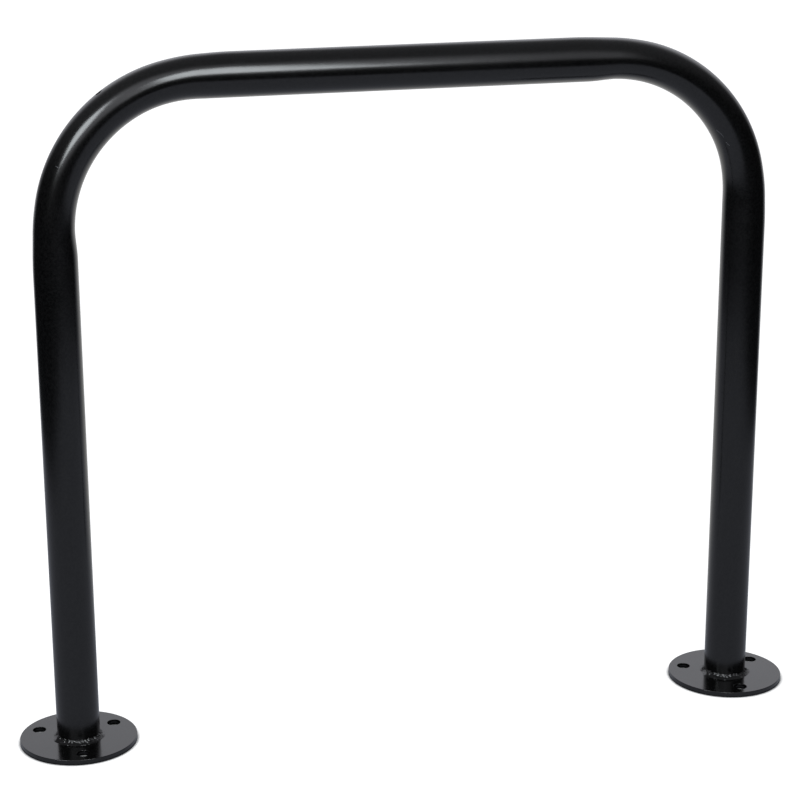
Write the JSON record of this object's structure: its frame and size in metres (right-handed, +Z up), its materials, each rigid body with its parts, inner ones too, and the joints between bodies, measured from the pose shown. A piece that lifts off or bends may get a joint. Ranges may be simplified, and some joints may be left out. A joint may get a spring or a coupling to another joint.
{
  "type": "charge point protection barrier",
  "caption": "Hoop of bent round steel tube on round flange plates, bolted to the ground so that vehicles stop short of a charge point.",
  "frame": {"origin": "on the floor, midway between the two legs", "axes": "+X along the hoop from the left leg to the right leg, +Y away from the viewer, +Z up"},
  "size_m": [0.907, 0.132, 0.768],
  "materials": {
    "powder_coat": "semi-gloss black powder coat"
  },
  "bodies": {
    "root": {"hoop_tube": "powder_coat", "left_base_plate": "powder_coat", "right_base_plate": "powder_coat", "left_weld": "powder_coat", "right_weld": "powder_coat"}
  },
  "joints": []
}
